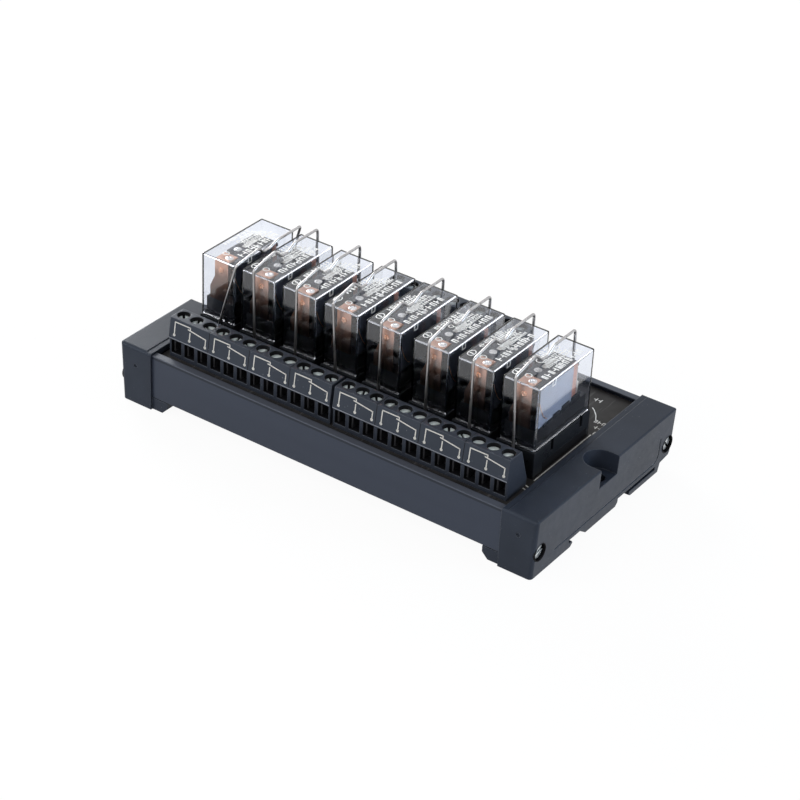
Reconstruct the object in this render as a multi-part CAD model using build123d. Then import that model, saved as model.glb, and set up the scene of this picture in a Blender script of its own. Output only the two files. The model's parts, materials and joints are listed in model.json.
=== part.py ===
"""Eight-channel plug-in relay board in a rail-mounted carrier.

Frame: X runs along the carrier from the first channel to the eighth, Y runs from the
front terminals to the rear, Z is up. The origin is under the middle of the carrier, on
the plane of its feet. Lengths are in millimetres.
"""
import os

from build123d import *

# Carrier: an extruded channel that holds the board in two grooves
row_end_margin = 2.49
carrier_depth = 77.0
tray_setback = 0.8
tray_bottom = 4.3
tray_floor = 1.6
wall_top = 19.1
wall_thickness = 1.3
lip_width = 2.4
lip_thickness = 1.3
groove_slack = 0.1
ledge_thickness = 1.5
port_radius = 2.2
port_bore = 1.25

# End caps with the rail feet
cap_width = 12.1
cap_height = 20.0
cap_wall = 2.0
cap_draft = 0.85
cap_edge_radius = 1.2
cap_rim_radius = 0.5
strip_width = 2.0
strip_step = 0.2
foot_reach = 5.9
foot_top = 4.0
foot_chamfer = 2.0
rail_width = 35.0
rail_slot = 1.3
rail_slack = 0.3
rail_seat = 3.0
rail_hook_root = -18.8
rail_hook_grip = 2.2
tongue_grip = 1.9
tongue_thickness = 1.7
tongue_heel = 31.6
tongue_slit_end = 29.5
saddle_front = -9.5
saddle_rear = 8.1
saddle_bottom = 0.6
saddle_ramp = 3.4
tip_ease = 0.7
tip_slope = 1.1
rear_corner_height = 6.0
rear_corner_inset = 1.6
notch_width = 10.0
notch_reach = 8.6
notch_depth = 6.5
notch_wall = 1.8
mount_hole = 4.5
mount_inset = 3.8
cap_screw_inset = 3.2
cap_screw_z = 8.3
counterbore = 5.8
counterbore_depth = 3.2
cap_screw_head = 5.2
cap_screw_head_height = 1.7
cap_screw_shank = 2.4
cap_screw_length = 16.0
cap_screw_hole = 2.8
boss_wall = 1.2
panel_line = 0.5
panel_line_depth = 0.4
panel_front_inset = 8.3
panel_rear_inset = 7.8
panel_bottom = 4.3
panel_corner = 3.2
panel_line_top = 12.6
dimple_radius = 0.7
dimple_depth = 0.4
dimple_x = 6.0
dimple_z = 13.4

# Circuit board
board_thickness = 1.6
board_end_gap = 0.2

# Channels
channel_count = 8
channel_pitch = 15.4
group_size = 5
group_gap = 1.4
row_shift = 0.2

# Relay cover and what it holds
relay_width = 12.6
relay_length = 29.2
relay_centre_y = -3.5
relay_height = 20.8
cover_wall = 0.7
cover_edge = 0.6
vent_width = 2.0
vent_height = 2.2
vent_depth = 0.3
vent_setback = 7.6
base_fit = 0.1
base_flange = 1.5
base_block_height = 6.0
base_step = 0.5
blade_thickness = 0.8
blade_width = 2.0
blade_length = 4.2
terminal_strip = 0.5
strip_gap = 0.5
strip_left = -1.9
strip_right = 3.2
strip_foot_left = -3.7
strip_foot_rise = 4.2
strip_jog_rise = 8.2
strip_root = 1.0
contact_margin = 0.4
tab_clearance = 0.3
contact_x = 1.7
contact_setback = 3.3
contact_radius = 1.4
contact_button = 0.45
contact_gap = 0.75
contact_rest_gap = 0.05
spring_thickness = 0.3
spring_width = 4.2
armature_thickness = 0.9
armature_width = 8.6
armature_gap = 0.4
plate_setback = 0.6
plate_overhang = 0.8
hinge_gap = 0.08
yoke_thickness = 1.0
flange_thickness = 1.0
bobbin_width = 9.4
bobbin_front = -9.0
bobbin_rear = 4.6
winding_inset = 0.7
winding_corner = 1.4
core_radius = 2.4
pole_rise = 0.25

# Sockets
socket_side_rim = 0.2
socket_end_rim = 0.4
socket_height = 8.8
socket_seat = 0.3
slot_slack = 0.1
slot_depth = 4.8
side_slot_width = 1.3
side_slot_height = 3.6
side_slot_depth = 0.8
side_slot_setback = 9.6

# Wire hold-down clips
clip_wire = 0.9
clip_pivot_height = 3.2
clip_leg_gap = 0.2
clip_pin_depth = 1.8
clip_pin_slack = 0.06
clip_press_gap = 0.65
clip_corner_rise = 2.2
clip_front_rise = 4.1
clip_rear_rise = 3.1
clip_dip_front = -9.0
clip_dip_flat_front = -5.6
clip_dip_flat_rear = -2.8
clip_dip_rear = 0.9
clip_bend = 0.5
# Each hand-set clip rests at its own angle, and the first leans well over its relay
clip_rest_deg = [16.0, -1.5, 0.0, -4.0, 0.0, 0.0, 0.0, -2.5]

# Terminal blocks
terminal_pitch = 5.08
front_ways = 12
front_block_gap = 1.1
rear_ways = 10
rear_block_x = 1.3
ways_per_module = 3
terminal_height = 13.5
screw_to_top_front = 3.2
screw_to_top_rear = 2.8
screw_to_ridge = 4.2
screw_to_foot_front = 3.7
screw_to_foot_rear = 6.4
ridge_height = 6.8
ridge_lip = 0.7
rear_slope_height = 3.0
rear_block_wall_gap = 0.5
screw_well = 4.3
screw_well_depth = 8.5
entry_width = 3.9
entry_height = 4.6
entry_sill = 1.4
entry_depth = 3.0
seam_width = 0.25
seam_depth = 0.3
terminal_screw_head = 4.0
terminal_screw_head_height = 1.6
terminal_screw_sink = 1.3
terminal_screw_shank = 2.6
clamp_width = 3.5
clamp_depth = 5.0
clamp_wall = 0.6
clamp_floor_gap = 0.4
clamp_slack = 0.1

# Coil suppression diodes behind the sockets
diode_length = 4.3
diode_width = 2.6
diode_height = 2.2
diode_gap = 3.4

# Round pieces that repeat are drawn with a few sides, fewer where they are out of sight
counterbore_sides = 20
small_round_sides = 12
hidden_round_sides = 8
wire_sides = 6

# Values worked out from the sizes above
socket_width = relay_width + 2 * socket_side_rim
socket_length = relay_length + 2 * socket_end_rim
terminal_row_length = 2 * front_ways * terminal_pitch + front_block_gap
relay_row_length = (channel_count - 1) * channel_pitch + group_gap + socket_width
tray_length = max(terminal_row_length, relay_row_length) + 2 * row_end_margin
half_length = tray_length / 2
half_depth = carrier_depth / 2
tray_half_depth = half_depth - tray_setback
cap_screw_y = half_depth - cap_screw_inset
panel_front = panel_front_inset - half_depth
panel_rear = half_depth - panel_rear_inset
overall_half = half_length + cap_width
lip_bottom = wall_top - lip_thickness
board_top = lip_bottom - groove_slack
board_bottom = board_top - board_thickness
ledge_top = board_bottom - groove_slack
lip_inner = tray_half_depth - lip_width
wall_inner = tray_half_depth - wall_thickness
board_half_depth = wall_inner - 2 * groove_slack
board_length = tray_length - 2 * board_end_gap
relay_front = relay_centre_y - relay_length / 2
relay_rear = relay_centre_y + relay_length / 2
socket_top = board_top + socket_height
socket_front = relay_centre_y - socket_length / 2
socket_rear = relay_centre_y + socket_length / 2
cover_bottom = socket_top + socket_seat
cover_top = cover_bottom + relay_height
cover_roof = cover_top - cover_wall
base_block_top = cover_bottom + base_block_height
clip_pivot_z = board_top + clip_pivot_height
terminal_top = board_top + terminal_height

# The front blocks stand midway between the lip of the tray and the clips
clip_front = socket_front - clip_leg_gap - clip_wire
block_middle = (clip_front - lip_inner) / 2
screw_row_y = block_middle - (screw_to_foot_rear - screw_to_ridge) / 2
top_front_y = screw_row_y - screw_to_top_front
top_rear_y = screw_row_y + screw_to_top_rear
ridge_y = screw_row_y - screw_to_ridge
foot_front_y = screw_row_y - screw_to_foot_front
foot_rear_y = screw_row_y + screw_to_foot_rear
rear_row_y = lip_inner - rear_block_wall_gap - screw_to_foot_front
rear_block_shift = rear_row_y + screw_row_y

# Blades of a relay: one common, one fixed contact, one spare, and two for the coil
pin_spots = [(0.0, -14.6), (0.0, -7.6), (0.0, 0.0), (-3.7, 7.4), (3.7, 7.4)]


def block(x0, x1, y0, y1, z0, z1):
    """A box between two corners."""
    centre = Pos((x0 + x1) / 2, (y0 + y1) / 2, (z0 + z1) / 2)
    return centre * Box(abs(x1 - x0), abs(y1 - y0), abs(z1 - z0))


def side_profile(points, x0, x1):
    """An outline in Y and Z, drawn out along X from x0 to x1."""
    face = Plane.YZ * Polygon(*points, align=None)
    return Pos(x0, 0, 0) * extrude(face, amount=x1 - x0, dir=(1, 0, 0))


def long_profile(points, y0, y1):
    """An outline in X and Z, drawn out along Y from y0 to y1."""
    face = Plane.XZ * Polygon(*points, align=None)
    return Pos(0, y0, 0) * extrude(face, amount=y1 - y0, dir=(0, 1, 0))


def rod_z(radius, z0, z1, x, y):
    """A round bar along Z."""
    return Pos(x, y, (z0 + z1) / 2) * Cylinder(radius, abs(z1 - z0))


def faceted_rod_x(radius, x0, x1, y, z, sides=small_round_sides):
    """A bar along X with a few flats."""
    section = RegularPolygon(radius, sides)
    low = min(x0, x1)
    return Pos(low, y, z) * Rot(0, 90, 0) * extrude(section, amount=abs(x1 - x0))


def faceted_rod_y(radius, y0, y1, x, z, sides=hidden_round_sides):
    """A bar along Y with a few flats."""
    section = RegularPolygon(radius, sides)
    return Pos(x, y1, z) * Rot(90, 0, 0) * extrude(section, amount=y1 - y0)


def faceted_rod_z(radius, z0, z1, x, y, sides=hidden_round_sides):
    """A bar along Z with a few flats."""
    section = RegularPolygon(radius, sides)
    return Pos(x, y, z0) * extrude(section, amount=z1 - z0)


def group(pieces):
    """Like pieces kept as separate solids of one node."""
    solids = [solid for piece in pieces for solid in piece.solids()]
    return Compound(children=solids)


def channel_x(index):
    """Centre of a channel along X, with the gap after the first group."""
    middle = (channel_count - 1) / 2
    shift = group_gap / 2 if index >= group_size else -group_gap / 2
    return (index - middle) * channel_pitch + shift + row_shift


def way_positions(ways, centre):
    """Centres of the ways of one terminal block along X."""
    return [centre + (way - (ways - 1) / 2) * terminal_pitch for way in range(ways)]


def front_block_centre(side):
    """Centre of the left (-1) or right (1) front terminal block along X."""
    return side * (front_ways * terminal_pitch + front_block_gap) / 2


def carrier_tray():
    """The channel: floor, two walls with a groove for the board, and screw ports."""
    floor_top = tray_bottom + tray_floor
    tray = block(-half_length, half_length, -tray_half_depth, tray_half_depth,
                 tray_bottom, floor_top)
    for side in (-1, 1):
        wall = block(-half_length, half_length, side * wall_inner, side * tray_half_depth,
                     tray_bottom, wall_top)
        lip = block(-half_length, half_length, side * lip_inner, side * tray_half_depth,
                    lip_bottom, wall_top)
        ledge = block(-half_length, half_length, side * lip_inner, side * tray_half_depth,
                      ledge_top - ledge_thickness, ledge_top)
        port = faceted_rod_x(port_radius, -half_length, half_length, side * cap_screw_y,
                             cap_screw_z)
        tray = tray + wall + lip + ledge + port
    corner = block(-half_length, half_length, -tray_half_depth, tray_half_depth,
                   tray_bottom, wall_top)
    tray = tray & corner
    for side in (-1, 1):
        tray = tray - faceted_rod_x(port_bore, -half_length, half_length, side * cap_screw_y,
                                    cap_screw_z)
    return tray


def rail_outline():
    """Side outline of an end cap: box above, rail hook, saddle and spring tongue below."""
    hook_top = rail_seat - rail_slot
    hook_tip = rail_hook_root + rail_hook_grip
    tongue_tip = rail_hook_root + rail_slack + rail_width - tongue_grip
    return [
        (-half_depth, 0.0),
        (-half_depth, cap_height),
        (half_depth, cap_height),
        (half_depth, rear_corner_height),
        (half_depth - rear_corner_inset, rear_corner_height - 1.5 * rear_corner_inset),
        (tongue_heel + tip_ease, rail_seat),
        (tongue_heel, 0.0),
        (tongue_tip + tip_slope, 0.0),
        (tongue_tip, tip_ease),
        (tongue_tip + tip_ease / 2, tongue_thickness),
        (tongue_slit_end, tongue_thickness),
        (tongue_slit_end, rail_seat),
        (saddle_rear, rail_seat),
        (saddle_rear, saddle_bottom + tip_slope),
        (saddle_rear - tip_slope, saddle_bottom),
        (saddle_front, saddle_bottom),
        (saddle_front - saddle_ramp, rail_seat),
        (rail_hook_root, rail_seat),
        (rail_hook_root, hook_top),
        (hook_tip - tip_ease / 2, hook_top),
        (hook_tip, hook_top - tip_ease),
        (hook_tip - tip_slope, 0.0),
    ]


def cap_long_outline():
    """Outline of an end cap seen along Y: its draft, and the foot that reaches under the tray."""
    foot_end = half_length - foot_reach
    return [
        (half_length, cap_height),
        (overall_half, cap_height),
        (overall_half - cap_draft, 0.0),
        (foot_end + foot_chamfer, 0.0),
        (foot_end, foot_chamfer),
        (foot_end, foot_top),
        (half_length, foot_top),
    ]


def panel_groove():
    """The line round two sides of the panel on the outer face."""
    def rounded(grow):
        height = 2 * (panel_line_top - panel_bottom) + 2 * grow
        width = panel_rear - panel_front + 2 * grow
        return RectangleRounded(width, height, panel_corner + grow)

    ring = rounded(0) - rounded(-panel_line)
    middle = (panel_line_top + panel_bottom) / 2
    face = overall_half - cap_draft * (1 - middle / cap_height)
    centre = Pos(face - panel_line_depth, (panel_front + panel_rear) / 2, panel_line_top)
    upright = centre * Plane.YZ.location
    line = upright * extrude(ring, amount=2 * panel_line_depth)
    kept = block(0, overall_half + 1, panel_front + panel_corner, panel_rear + 1,
                 0, panel_line_top)
    return line & kept


def end_cap():
    """The right end cap, moulded in one piece with its rail foot."""
    cap = side_profile(rail_outline(), half_length - foot_reach, overall_half)
    cap = cap & long_profile(cap_long_outline(), -half_depth, half_depth)
    for side in (-1, 1):
        cap = cap - block(half_length - foot_reach - 1, half_length, side * tray_half_depth,
                          side * (half_depth + 1), -1, foot_top + 1)
    edges = cap.edges()
    top_edges = [edge for edge in edges.filter_by(Axis.X)
                 if abs(edge.center().Z - cap_height) < 0.01]
    corners = [edge for edge in edges
               if edge.center().X > overall_half - cap_draft
               and abs(edge.center().Y) > half_depth - 0.01]
    cap = fillet(top_edges + corners, cap_edge_radius)
    rim = [edge for edge in cap.edges().filter_by(Axis.Y)
           if edge.center().X > overall_half - 0.01 and edge.center().Z > cap_height - 0.01]
    cap = fillet(rim, cap_rim_radius)
    cap = cap - block(half_length, half_length + strip_width, -half_depth, half_depth,
                      cap_height - strip_step, cap_height)

    # Two pockets, open towards the tray, leave the notch housing between them
    housing = notch_width / 2 + notch_wall
    boss_radius = counterbore / 2 + boss_wall
    for side in (-1, 1):
        pocket = block(half_length, overall_half - cap_wall, side * housing,
                       side * (half_depth - cap_wall), tray_bottom, cap_height - cap_wall)
        boss = faceted_rod_x(boss_radius, half_length, overall_half, side * cap_screw_y,
                             cap_screw_z)
        cap = cap - (pocket - boss)
        hole = faceted_rod_x(cap_screw_hole / 2, half_length, overall_half,
                             side * cap_screw_y, cap_screw_z)
        bore = faceted_rod_x(counterbore / 2, overall_half - counterbore_depth,
                             overall_half + 1, side * cap_screw_y, cap_screw_z,
                             counterbore_sides)
        cap = cap - hole - bore

    # Notch in the top for a panel screw, round at its inner end
    round_x = overall_half - notch_reach + notch_width / 2
    notch_floor = cap_height - notch_depth
    notch = rod_z(notch_width / 2, notch_floor, cap_height + 1, round_x, 0)
    notch = notch + block(round_x, overall_half + 1, -notch_width / 2, notch_width / 2,
                          notch_floor, cap_height + 1)
    cap = cap - notch
    cap = cap - rod_z(mount_hole / 2, -1, notch_floor + 1, overall_half - mount_inset, 0)
    cap = cap - panel_groove()
    cap = cap - faceted_rod_y(dimple_radius, -half_depth - 1, -half_depth + dimple_depth,
                              half_length + dimple_x, dimple_z)
    return cap


def end_cap_screws():
    """Four screws through the caps into the ports of the tray."""
    screws = []
    for end in (-1, 1):
        for side in (-1, 1):
            seat = overall_half - counterbore_depth
            head = faceted_rod_x(cap_screw_head / 2, end * seat,
                                 end * (seat + cap_screw_head_height), side * cap_screw_y,
                                 cap_screw_z, counterbore_sides)
            shank = faceted_rod_x(cap_screw_shank / 2, end * seat,
                                  end * (seat - cap_screw_length), side * cap_screw_y,
                                  cap_screw_z, hidden_round_sides)
            screws.append(head + shank)
    return group(screws)


def circuit_board():
    """The board, a plain plate in the grooves of the tray."""
    return block(-board_length / 2, board_length / 2, -board_half_depth, board_half_depth,
                 board_bottom, board_top)


def terminal_outline():
    """Section of a front terminal block: narrow top, ridge, and upright foot."""
    ridge_z = board_top + ridge_height
    return [
        (foot_front_y, board_top),
        (foot_front_y, ridge_z - ridge_lip),
        (ridge_y, ridge_z),
        (top_front_y, terminal_top),
        (top_rear_y, terminal_top),
        (foot_rear_y, board_top + rear_slope_height),
        (foot_rear_y, board_top),
    ]


def clamp_box(x):
    """Limits of one clamp cage in X, Y and Z."""
    z0 = board_top + clamp_floor_gap
    z1 = z0 + entry_height + entry_sill
    return (x - clamp_width / 2, x + clamp_width / 2,
            screw_row_y - clamp_depth / 2, screw_row_y + clamp_depth / 2, z0, z1)


def terminal_housing(ways, centre):
    """A block housing with a screw well, a wire entry and a clamp space for each way."""
    half = ways * terminal_pitch / 2
    housing = side_profile(terminal_outline(), centre - half, centre + half)
    entry_bottom = board_top + entry_sill
    for x in way_positions(ways, centre):
        well = faceted_rod_z(screw_well / 2, terminal_top - screw_well_depth,
                             terminal_top + 1, x, screw_row_y, small_round_sides)
        entry = block(x - entry_width / 2, x + entry_width / 2, ridge_y - 1,
                      foot_front_y + entry_depth, entry_bottom, entry_bottom + entry_height)
        x0, x1, y0, y1, z0, z1 = clamp_box(x)
        space = block(x0 - clamp_slack, x1 + clamp_slack, y0 - clamp_slack, y1 + clamp_slack,
                      board_top - 1, z1 + clamp_slack)
        housing = housing - (well + entry + space)
    for module in range(1, ways // ways_per_module):
        x = centre - half + module * ways_per_module * terminal_pitch
        housing = housing - block(x - seam_width / 2, x + seam_width / 2, ridge_y - 1,
                                  foot_rear_y + 1, terminal_top - seam_depth, terminal_top + 1)
    return housing


def terminal_screw(x):
    """One clamping screw, sunk in its well, with its tip on the clamp."""
    head_top = terminal_top - terminal_screw_sink
    head_bottom = head_top - terminal_screw_head_height
    tip = clamp_box(x)[-1]
    head = faceted_rod_z(terminal_screw_head / 2, head_bottom, head_top, x, screw_row_y,
                         small_round_sides)
    shank = faceted_rod_z(terminal_screw_shank / 2, tip, head_bottom, x, screw_row_y)
    return head + shank


def terminal_clamp(x):
    """One clamp cage with its window for the wire."""
    x0, x1, y0, y1, z0, z1 = clamp_box(x)
    cage = block(x0, x1, y0, y1, z0, z1)
    return cage - block(x0 + clamp_wall, x1 - clamp_wall, y0 - 1, y1 + 1,
                        z0 + clamp_wall, z1 - clamp_wall)


def to_rear(piece):
    """Turn a piece of a front block round to the rear of the board."""
    return Pos(2 * rear_block_x, rear_block_shift, 0) * Rot(0, 0, 180) * piece


def each_way(make):
    """Make one piece for each way of the front and rear blocks."""
    pieces = []
    for side in (-1, 1):
        pieces += [make(x) for x in way_positions(front_ways, front_block_centre(side))]
    pieces += [to_rear(make(x)) for x in way_positions(rear_ways, rear_block_x)]
    return group(pieces)


def socket():
    """A relay socket at X zero: blade slots above, clip holes at its ends."""
    half = socket_width / 2
    body = block(-half, half, socket_front, socket_rear, board_top, socket_top)
    for x, y in pin_spots:
        reach_x = blade_thickness / 2 + slot_slack
        reach_y = blade_width / 2 + slot_slack
        body = body - block(x - reach_x, x + reach_x, y - reach_y, y + reach_y,
                            socket_top - slot_depth, socket_top + 1)
    for side in (-1, 1):
        for y in (socket_front + side_slot_setback, socket_rear - side_slot_setback / 2):
            body = body - block(side * (half - side_slot_depth), side * (half + 1),
                                y - side_slot_width / 2, y + side_slot_width / 2,
                                socket_top - side_slot_height, socket_top + 1)
    hole = clip_wire / 2 + clip_pin_slack
    depth = clip_pin_depth + clip_leg_gap
    body = body - faceted_rod_y(hole, socket_front - 1, socket_front + depth, 0, clip_pivot_z)
    body = body - faceted_rod_y(hole, socket_rear - depth, socket_rear + 1, 0, clip_pivot_z)
    return body


def clip_points():
    """Route of the clip wire in its own plane, from the front pin to the rear pin."""
    radius = clip_wire / 2
    front = socket_front - clip_leg_gap - radius
    rear = socket_rear + clip_leg_gap + radius
    press = cover_top + clip_press_gap + radius
    return [
        (0, socket_front + clip_pin_depth, clip_pivot_z),
        (0, front, clip_pivot_z),
        (0, front, cover_top + clip_corner_rise),
        (0, clip_dip_front, cover_top + clip_front_rise),
        (0, clip_dip_flat_front, press),
        (0, clip_dip_flat_rear, press),
        (0, clip_dip_rear, cover_top + clip_rear_rise),
        (0, rear, cover_top + clip_rear_rise),
        (0, rear, clip_pivot_z),
        (0, socket_rear - clip_pin_depth, clip_pivot_z),
    ]


def eased_route(points, cut):
    """A route with each corner cut by a short run, as a bend in stiff wire."""
    corners = [Vector(*point) for point in points]
    route = [corners[0]]
    for before, corner, after in zip(corners, corners[1:], corners[2:]):
        route.append(corner + (before - corner).normalized() * cut)
        route.append(corner + (after - corner).normalized() * cut)
    route.append(corners[-1])
    return route


def hold_down_clip():
    """The bent wire clip at X zero, upright over its relay."""
    path = Polyline(*eased_route(clip_points(), clip_bend))
    start = Plane(origin=path @ 0, z_dir=path % 0)
    section = start * RegularPolygon(clip_wire / 2, wire_sides)
    return sweep(section, path=path, transition=Transition.RIGHT)


def swing(piece, angle):
    """Turn a clip about its pins, towards +X for a positive angle."""
    return Pos(0, 0, clip_pivot_z) * Rot(0, angle, 0) * Pos(0, 0, -clip_pivot_z) * piece


def relay_cover():
    """The clear cover: a thin box open below, with a small moulded recess on its right side."""
    half = relay_width / 2
    outer = block(-half, half, relay_front, relay_rear, cover_bottom, cover_top)
    kept = [edge for edge in outer.edges() if edge.center().Z > cover_bottom + 0.01]
    outer = chamfer(kept, cover_edge)
    inner = block(-half + cover_wall, half - cover_wall, relay_front + cover_wall,
                  relay_rear - cover_wall, cover_bottom - 1, cover_roof)
    y = relay_front + vent_setback
    recess = block(half - vent_depth, half + 1, y - vent_width / 2, y + vent_width / 2,
                   cover_top - vent_height, cover_top - cover_edge)
    return outer - inner - recess


contact_y = relay_front + cover_wall + contact_setback
tab_top = cover_roof - tab_clearance
tab_bottom = tab_top - terminal_strip
upper_face = tab_bottom - contact_button
moving_top = upper_face - contact_rest_gap
moving_bottom = moving_top - 2 * contact_button - spring_thickness
lower_face = moving_bottom - contact_gap
spring_bottom = moving_top - contact_button - spring_thickness
armature_bottom = spring_bottom - armature_thickness
hinge_y = bobbin_rear - yoke_thickness
hinge_z = armature_bottom - hinge_gap


def relay_base():
    """The black base with its five blades and the two fixed contacts."""
    half = relay_width / 2 - cover_wall - base_fit
    front = relay_front + cover_wall + base_fit
    rear = relay_rear - cover_wall - base_fit
    base = block(-half, half, front, rear, cover_bottom, cover_bottom + base_flange)
    base = base + block(-half + base_step, half - base_step, front + base_step,
                        rear - base_step, cover_bottom, base_block_top)
    for x, y in pin_spots:
        base = base + block(x - blade_thickness / 2, x + blade_thickness / 2,
                            y - blade_width / 2, y + blade_width / 2,
                            cover_bottom - blade_length, cover_bottom + 1)

    # Upper contact: a strip with a jog stands at the front and folds back at the top
    strip_front = front + strip_gap
    outline = [
        (strip_foot_left, base_block_top - strip_root),
        (strip_foot_left, base_block_top + strip_foot_rise),
        (strip_left, base_block_top + strip_jog_rise),
        (strip_left, tab_top),
        (strip_right, tab_top),
        (strip_right, base_block_top - strip_root),
    ]
    base = base + long_profile(outline, strip_front, strip_front + terminal_strip)
    tab_rear = contact_y + contact_radius + contact_margin
    base = base + block(strip_left, strip_right, strip_front, tab_rear, tab_bottom, tab_top)
    base = base + faceted_rod_z(contact_radius, upper_face, tab_bottom, contact_x, contact_y)

    # Lower contact: a post behind it carries a shelf under the moving contact
    shelf_top = lower_face - contact_button
    shelf_bottom = shelf_top - terminal_strip
    post_y = tab_rear + terminal_strip
    base = base + block(strip_left, strip_right, contact_y - contact_radius, post_y,
                        shelf_bottom, shelf_top)
    base = base + block(strip_left, strip_right, post_y - terminal_strip, post_y,
                        base_block_top - strip_root, shelf_top)
    base = base + faceted_rod_z(contact_radius, shelf_top, lower_face, contact_x, contact_y)
    return base


def relay_magnet():
    """The coil on its bobbin, with its core and the bent yoke under and behind it."""
    half = bobbin_width / 2
    pole_top = armature_bottom - armature_gap
    flange_top = pole_top - pole_rise
    flange_bottom = base_block_top + yoke_thickness
    lower = block(-half, half, bobbin_front, hinge_y, flange_bottom,
                  flange_bottom + flange_thickness)
    upper = block(-half, half, bobbin_front, hinge_y, flange_top - flange_thickness, flange_top)
    winding = block(-half + winding_inset, half - winding_inset, bobbin_front + winding_inset,
                    hinge_y - winding_inset, base_block_top, flange_top)
    winding = chamfer(winding.edges().filter_by(Axis.Z), winding_corner)
    core = faceted_rod_z(core_radius, base_block_top, pole_top, 0,
                         (bobbin_front + hinge_y) / 2)
    back = block(-half, half, hinge_y - winding_inset, bobbin_rear, base_block_top, hinge_z)
    foot = block(-half, half, bobbin_front + winding_inset, hinge_y, base_block_top,
                 flange_bottom)
    return lower + upper + winding + core + back + foot


def relay_armature():
    """The armature plate with the contact spring that runs forward from it."""
    half = armature_width / 2
    plate = block(-half, half, bobbin_front + plate_setback, bobbin_rear + plate_overhang,
                  armature_bottom, spring_bottom)
    spring = block(contact_x - spring_width / 2, contact_x + spring_width / 2,
                   contact_y - contact_radius, hinge_y, spring_bottom,
                   spring_bottom + spring_thickness)
    button = faceted_rod_z(contact_radius, moving_bottom, moving_top, contact_x, contact_y)
    return plate + spring + button


def coil_diodes():
    """One small diode on the board behind each socket."""
    diodes = []
    for index in range(channel_count):
        x = channel_x(index)
        y = socket_rear + diode_gap
        diodes.append(block(x - diode_length / 2, x + diode_length / 2, y, y + diode_width,
                            board_top, board_top + diode_height))
    return group(diodes)


def main():
    os.makedirs("parts", exist_ok=True)
    right_cap = end_cap()
    nodes = {
        "carrier_tray": carrier_tray(),
        "right_end_cap": right_cap,
        "left_end_cap": mirror(right_cap, about=Plane.YZ),
        "end_cap_screws": end_cap_screws(),
        "circuit_board": circuit_board(),
        "front_terminal_block_left": terminal_housing(front_ways, front_block_centre(-1)),
        "front_terminal_block_right": terminal_housing(front_ways, front_block_centre(1)),
        "rear_terminal_block": to_rear(terminal_housing(rear_ways, rear_block_x)),
        "terminal_screws": each_way(terminal_screw),
        "terminal_clamps": each_way(terminal_clamp),
        "coil_diodes": coil_diodes(),
    }
    socket_shape = socket()
    clip = hold_down_clip()
    cover = relay_cover()
    base = relay_base()
    magnet = relay_magnet()
    armature = relay_armature()
    for index in range(channel_count):
        place = Pos(channel_x(index), 0, 0)
        number = index + 1
        nodes[f"socket_{number}"] = place * socket_shape
        nodes[f"clip_{number}"] = place * swing(clip, clip_rest_deg[index])
        nodes[f"relay_cover_{number}"] = place * cover
        nodes[f"relay_base_{number}"] = place * base
        nodes[f"relay_magnet_{number}"] = place * magnet
        nodes[f"relay_armature_{number}"] = place * armature
    for name, shape in nodes.items():
        export_step(shape, f"parts/{name}.step")


main()
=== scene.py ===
"""Looks of the eight-channel relay board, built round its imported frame.

Sizes are written in millimetres and turned to metres where a mesh is made.
"""
import json
import math
import random

import bmesh
import bpy
from mathutils import Matrix, Vector


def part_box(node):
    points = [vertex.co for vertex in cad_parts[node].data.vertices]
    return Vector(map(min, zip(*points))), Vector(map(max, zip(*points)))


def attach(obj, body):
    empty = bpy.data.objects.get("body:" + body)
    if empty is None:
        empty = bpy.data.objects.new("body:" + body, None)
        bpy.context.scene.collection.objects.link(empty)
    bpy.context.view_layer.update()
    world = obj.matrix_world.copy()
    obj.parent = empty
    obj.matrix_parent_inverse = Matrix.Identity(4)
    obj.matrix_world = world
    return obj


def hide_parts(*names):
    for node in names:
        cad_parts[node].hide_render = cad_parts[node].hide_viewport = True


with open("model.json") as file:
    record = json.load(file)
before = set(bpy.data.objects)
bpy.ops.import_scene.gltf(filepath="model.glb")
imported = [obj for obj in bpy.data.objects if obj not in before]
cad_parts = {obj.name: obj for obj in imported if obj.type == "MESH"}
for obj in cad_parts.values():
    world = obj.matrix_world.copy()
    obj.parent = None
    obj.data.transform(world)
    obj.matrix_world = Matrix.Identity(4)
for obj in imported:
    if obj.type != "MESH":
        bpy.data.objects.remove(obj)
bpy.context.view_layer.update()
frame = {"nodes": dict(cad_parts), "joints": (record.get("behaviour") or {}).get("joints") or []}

MM = 0.001
CHANNELS = range(1, 9)
CARRIER = "carrier"

# Camera, fitted to the photograph
CAMERA_PLACE = (0.34683, -0.51169, 0.40477)
CAMERA_HEADING = 0.59287
CAMERA_TILT = 1.00325
CAMERA_ROLL = 0.05214
CAMERA_LENS = 108.58
SENSOR_WIDTH = 36.0

# Terminal blocks
PITCH = 5.08
WAYS_PER_GROUP = 3
ROW_FROM_FRONT = 4.2
TOP_FROM_FRONT = 1.0
RIDGE_BELOW_TOP = 6.7
SCREW_RADIUS = 1.94
SCREW_SINK = 1.3
WELL_RADIUS = 2.07
SCREW_HEIGHT = 1.6
SLOT_WIDTH = 0.75
SLOT_DEPTH = 0.7
SYMBOL_SHIFT = 0.3
SYMBOL_LINE = 0.34
SYMBOL_DOT = 0.47
PRINT_RISE = 0.03
SEAM_LINE = 0.2
ENTRY_WIDTH = 3.9
ENTRY_HEIGHT = 4.6
ENTRY_SILL = 1.4
ENTRY_DEPTH = 2.7
ENTRY_FROM_FRONT = 0.7
ENTRY_GAP = 0.02
# Thicknesses of the dark sheets of painted shade in the wire entries, screw slots and screw wells,
# and how far below the top the well's sheet stops
ENTRY_SHADE_THICKNESS = 0.06
SLOT_SHADE_THICKNESS = 0.04
WELL_SHADE_THICKNESS = 0.1
WELL_BELOW_TOP = 0.06

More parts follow.
